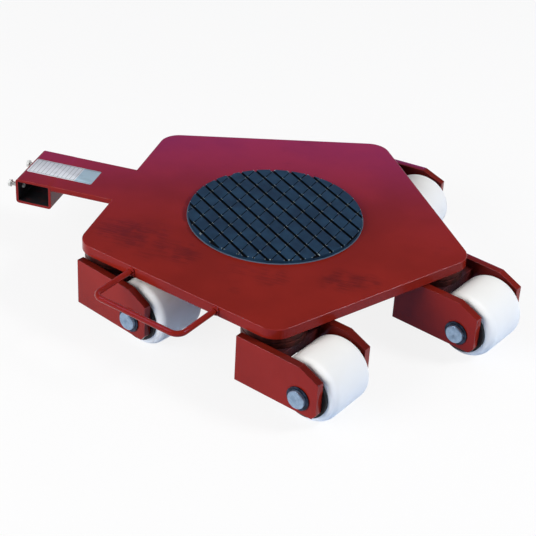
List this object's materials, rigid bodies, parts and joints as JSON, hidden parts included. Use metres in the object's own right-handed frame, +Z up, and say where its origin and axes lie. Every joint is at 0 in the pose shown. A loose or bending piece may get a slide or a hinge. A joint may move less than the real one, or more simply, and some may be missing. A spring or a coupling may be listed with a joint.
{
  "type": "machine skate",
  "caption": "Low five-sided steel load skate with swivelling nylon roller blocks, a round rubber load pad, a carry handle and a towing socket on a short arm.",
  "frame": {"origin": "on the floor, under the middle of the box round the whole skate", "axes": "+X from the arm's cross tube towards the opposite deck corner, +Z up, floor at z = 0"},
  "size_m": [0.7378, 0.5702, 0.1175],
  "materials": {
    "red_paint": "semi-gloss red enamel",
    "bright_steel": "ground bright steel",
    "zinc_plate": "bright zinc plating",
    "white_nylon": "turned white nylon",
    "black_rubber": "moulded black rubber",
    "black_plastic": "oiled black plastic"
  },
  "bodies": {
    "deck": {"deck_plate": "red_paint", "socket_tube": "red_paint", "clamp_nuts": "zinc_plate", "carry_handle": "red_paint", "rubber_pad": "black_rubber", "kingpins": "bright_steel", "upper_races": "bright_steel", "kingpin_nuts": "zinc_plate"},
    "clamp_near": {"clamp_screw_near": "zinc_plate"},
    "clamp_far": {"clamp_screw_far": "zinc_plate"},
    "block_1": {"left_plate_1": "red_paint", "right_plate_1": "red_paint", "bridge_plate_1": "red_paint", "lower_race_1": "bright_steel", "swivel_balls_1": "bright_steel", "axle_1": "bright_steel", "axle_rings_1": "bright_steel", "thrust_washers_1": "black_plastic"},
    "roller_set_1": {"roller_1": "white_nylon", "roller_bearings_1": "bright_steel"},
    "block_2": {"left_plate_2": "red_paint", "right_plate_2": "red_paint", "bridge_plate_2": "red_paint", "lower_race_2": "bright_steel", "swivel_balls_2": "bright_steel", "axle_2": "bright_steel", "axle_rings_2": "bright_steel", "thrust_washers_2": "black_plastic"},
    "roller_set_2": {"roller_2": "white_nylon", "roller_bearings_2": "bright_steel"},
    "block_3": {"left_plate_3": "red_paint", "right_plate_3": "red_paint", "bridge_plate_3": "red_paint", "lower_race_3": "bright_steel", "swivel_balls_3": "bright_steel", "axle_3": "bright_steel", "axle_rings_3": "bright_steel", "thrust_washers_3": "black_plastic"},
    "roller_set_3": {"roller_3": "white_nylon", "roller_bearings_3": "bright_steel"},
    "block_4": {"left_plate_4": "red_paint", "right_plate_4": "red_paint", "bridge_plate_4": "red_paint", "lower_race_4": "bright_steel", "swivel_balls_4": "bright_steel", "axle_4": "bright_steel", "axle_rings_4": "bright_steel", "thrust_washers_4": "black_plastic"},
    "roller_set_4": {"roller_4": "white_nylon", "roller_bearings_4": "bright_steel"},
    "block_5": {"left_plate_5": "red_paint", "right_plate_5": "red_paint", "bridge_plate_5": "red_paint", "lower_race_5": "bright_steel", "swivel_balls_5": "bright_steel", "axle_5": "bright_steel", "axle_rings_5": "bright_steel", "thrust_washers_5": "black_plastic"},
    "roller_set_5": {"roller_5": "white_nylon", "roller_bearings_5": "bright_steel"}
  },
  "joints": [
    {"name": "clamp_near_slide", "type": "slide", "parent": "deck", "child": "clamp_near", "axis": [1, 0, 0], "range_m": [-0.006, 0.0079]},
    {"name": "clamp_far_slide", "type": "slide", "parent": "deck", "child": "clamp_far", "axis": [1, 0, 0], "range_m": [-0.006, 0.0079]},
    {"name": "swivel_1", "type": "hinge", "parent": "deck", "child": "block_1", "pos_m": [0.23909, 0.01739, 0.0795], "axis": [0, 0, 1], "continuous": true},
    {"name": "roller_spin_1", "type": "hinge", "parent": "block_1", "child": "roller_set_1", "pos_m": [0.31616, -0.01204, 0.045], "axis": [0.3567, 0.9342, 0], "continuous": true},
    {"name": "swivel_2", "type": "hinge", "parent": "deck", "child": "block_2", "pos_m": [0.08597, 0.22814, 0.0795], "axis": [0, 0, 1], "continuous": true},
    {"name": "roller_spin_2", "type": "hinge", "parent": "block_2", "child": "roller_set_2", "pos_m": [0.16762, 0.21638, 0.045], "axis": [0.1426, 0.9898, 0], "continuous": true},
    {"name": "swivel_3", "type": "hinge", "parent": "deck", "child": "block_3", "pos_m": [-0.16179, 0.14764, 0.0795], "axis": [0, 0, 1], "continuous": true},
    {"name": "roller_spin_3", "type": "hinge", "parent": "block_3", "child": "roller_set_3", "pos_m": [-0.08249, 0.1249, 0.045], "axis": [0.2756, 0.9613, 0], "continuous": true},
    {"name": "swivel_4", "type": "hinge", "parent": "deck", "child": "block_4", "pos_m": [-0.16179, -0.11286, 0.0795], "axis": [0, 0, 1], "continuous": true},
    {"name": "roller_spin_4", "type": "hinge", "parent": "block_4", "child": "roller_set_4", "pos_m": [-0.08648, -0.14655, 0.045], "axis": [0.4083, 0.9128, 0], "continuous": true},
    {"name": "swivel_5", "type": "hinge", "parent": "deck", "child": "block_5", "pos_m": [0.08597, -0.19336, 0.0795], "axis": [0, 0, 1], "continuous": true},
    {"name": "roller_spin_5", "type": "hinge", "parent": "block_5", "child": "roller_set_5", "pos_m": [0.16354, -0.22145, 0.045], "axis": [0.3404, 0.9403, 0], "continuous": true}
  ]
}
